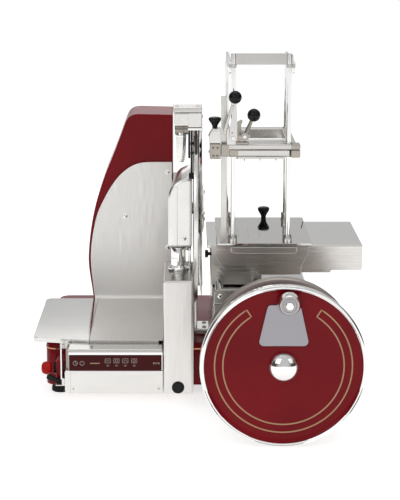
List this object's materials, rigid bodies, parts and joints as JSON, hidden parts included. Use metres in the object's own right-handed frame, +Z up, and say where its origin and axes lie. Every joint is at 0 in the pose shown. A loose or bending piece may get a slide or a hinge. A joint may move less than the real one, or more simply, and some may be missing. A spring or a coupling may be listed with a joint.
{
  "type": "hand crank meat slicer",
  "caption": "Countertop flywheel meat slicer: a cranked wheel turns a round knife past a sliding meat carriage with a lever clamp and a slice tray.",
  "frame": {"origin": "centre of the bounding box in X and Y, on the surface that the feet stand on", "axes": "+X from the slice tray to the carriage side, +Y from the flywheel to the back, +Z up"},
  "size_m": [0.626, 0.7516, 0.667],
  "materials": {
    "red_enamel": "gloss enamel",
    "brushed_steel": "brushed",
    "brushed_casting": "brushed",
    "chrome": "polished",
    "cast_metal": "satin cast",
    "pale_cast": "polished cast",
    "red_casting": "gloss enamel on cast metal",
    "black_plastic": "gloss",
    "rubber": "matte",
    "stop_red": "semi-gloss",
    "bronze": "machined",
    "grinding_stone": "abrasive"
  },
  "bodies": {
    "frame": {"base_casting": "red_casting", "foot_front_left": "rubber", "foot_front_right": "rubber", "foot_rear_left": "rubber", "foot_rear_right": "rubber", "control_box": "brushed_casting", "control_panel": "red_enamel", "front_column": "brushed_casting", "slice_tray": "brushed_steel", "slice_deflector": "brushed_steel", "drive_cover": "red_enamel", "drive_cover_back": "red_enamel", "motor": "cast_metal", "power_inlet": "black_plastic", "knife_bearing": "bronze", "knife_guard_ring": "pale_cast", "knife_hub_cover": "pale_cast", "knife_arm": "cast_metal", "guard_post": "chrome", "sharpener_arm": "cast_metal", "shaft_housing": "cast_metal", "shaft_sleeve": "bronze", "pedestal": "brushed_casting", "pedestal_cover": "brushed_steel", "carriage_rails": "chrome"},
    "flywheel": {"flywheel_rim": "chrome", "flywheel_disc": "red_enamel", "hub_cap": "chrome", "crank_plate": "brushed_steel", "flywheel_shaft": "brushed_steel"},
    "grip": {"hand_grip": "cast_metal"},
    "knife": {"knife": "chrome", "knife_shaft": "brushed_steel"},
    "crank": {"cross_shaft": "brushed_steel"},
    "link": {"connecting_rod": "brushed_steel"},
    "carriage": {"carriage_slide": "cast_metal", "carriage_table": "brushed_steel", "carriage_skirt": "brushed_steel", "carriage_handle": "brushed_steel"},
    "index": {"index_knob": "black_plastic"},
    "meat_table": {"meat_plate": "brushed_steel", "clamp_frame": "chrome"},
    "table_lock": {"table_knob": "black_plastic"},
    "screw": {"feed_screw": "brushed_steel"},
    "clamp": {"clamp_crosshead": "brushed_steel", "press_plate": "brushed_steel", "clamp_block": "brushed_steel"},
    "clamp_lock": {"clamp_knob": "black_plastic"},
    "left_lever": {"lever_left": "brushed_steel", "lever_left_ball": "black_plastic"},
    "right_lever": {"lever_right": "brushed_steel", "lever_right_ball": "black_plastic"},
    "stop": {"stop_button": "stop_red"},
    "guard": {"hand_guard": "pale_cast"},
    "latch": {"latch_lever": "chrome"},
    "sharpener": {"sharpener_body": "pale_cast", "sharpener_cap": "brushed_steel", "sharpener_rod": "black_plastic"},
    "coarse_stone": {"stone_coarse": "grinding_stone"},
    "fine_stone": {"stone_fine": "grinding_stone"}
  },
  "joints": [
    {"name": "flywheel_spin", "type": "hinge", "parent": "frame", "child": "flywheel", "pos_m": [0.148, -0.33125, 0.1505], "axis": [0, 1, 0], "continuous": true},
    {"name": "grip_spin", "type": "hinge", "parent": "flywheel", "child": "grip", "pos_m": [0.156, -0.35295, 0.2655], "axis": [0, 1, 0], "continuous": true},
    {"name": "knife_spin", "type": "hinge", "parent": "frame", "child": "knife", "pos_m": [0.007, 0.05875, 0.351], "axis": [1, 0, 0], "continuous": true},
    {"name": "crank_spin", "type": "hinge", "parent": "frame", "child": "crank", "pos_m": [0.1095, 0.05875, 0.1505], "axis": [1, 0, 0], "continuous": true},
    {"name": "link_swing", "type": "hinge", "parent": "crank", "child": "link", "pos_m": [0.041, 0.05875, 0.1775], "axis": [1, 0, 0], "continuous": true},
    {"name": "carriage_travel", "type": "slide", "parent": "frame", "child": "carriage", "axis": [0, 1, 0], "range_m": [-0.105, 0.15]},
    {"name": "index_turn", "type": "hinge", "parent": "carriage", "child": "index", "pos_m": [0.0307, -0.06325, 0.2865], "axis": [1, 0, 0], "range_deg": [-150, 150]},
    {"name": "table_feed", "type": "slide", "parent": "carriage", "child": "meat_table", "axis": [1, 0, 0], "range_m": [0, 0.09]},
    {"name": "feed_screw_turn", "type": "hinge", "parent": "carriage", "child": "screw", "pos_m": [0.129, 0.03875, 0.285], "axis": [1, 0, 0], "range_deg": [0, 2600]},
    {"name": "table_lock_turn", "type": "hinge", "parent": "meat_table", "child": "table_lock", "pos_m": [0.1365, 0.15475, 0.3103], "axis": [0, 0, 1], "range_deg": [-180, 180]},
    {"name": "clamp_travel", "type": "slide", "parent": "meat_table", "child": "clamp", "axis": [0, 0, 1], "range_m": [-0.135, 0.11]},
    {"name": "clamp_lock_turn", "type": "hinge", "parent": "clamp", "child": "clamp_lock", "pos_m": [0.0327, -0.06925, 0.5288], "axis": [0, 0, 1], "range_deg": [-180, 180]},
    {"name": "left_lever_turn", "type": "hinge", "parent": "clamp", "child": "left_lever", "pos_m": [0.0663, -0.09625, 0.513], "axis": [0, 1, 0], "range_deg": [-35, 10]},
    {"name": "right_lever_turn", "type": "hinge", "parent": "clamp", "child": "right_lever", "pos_m": [0.0875, -0.09625, 0.516], "axis": [0, 1, 0], "range_deg": [-12, 50]},
    {"name": "stop_press", "type": "slide", "parent": "frame", "child": "stop", "axis": [1, 0, 0], "range_m": [0, 0.004], "stiffness_N_per_m": 600},
    {"name": "guard_swing", "type": "hinge", "parent": "frame", "child": "guard", "pos_m": [-0.0355, -0.05125, 0.2975], "axis": [0, 0, 1], "range_deg": [-90, 0]},
    {"name": "latch_turn", "type": "hinge", "parent": "frame", "child": "latch", "pos_m": [-0.0142, -0.05125, 0.262], "axis": [0, 0, 1], "range_deg": [0, 90]},
    {"name": "sharpener_lift", "type": "slide", "parent": "frame", "child": "sharpener", "axis": [0, 0, 1], "range_m": [0, 0.008]},
    {"name": "coarse_stone_spin", "type": "hinge", "parent": "sharpener", "child": "coarse_stone", "pos_m": [-0.004, -0.02625, 0.474], "axis": [1, 0, 0], "continuous": true},
    {"name": "fine_stone_spin", "type": "hinge", "parent": "sharpener", "child": "fine_stone", "pos_m": [-0.004, -0.00125, 0.4885], "axis": [1, 0, 0], "continuous": true}
  ],
  "couplings": [
    {"joint": "knife_spin", "follows": "flywheel_spin", "ratio": 4},
    {"joint": "crank_spin", "follows": "flywheel_spin", "ratio": -1},
    {"joint": "link_swing", "follows": "flywheel_spin", "ratio": 1},
    {"joint": "feed_screw_turn", "follows": "table_feed", "rad_per_m": 494.2}
  ]
}
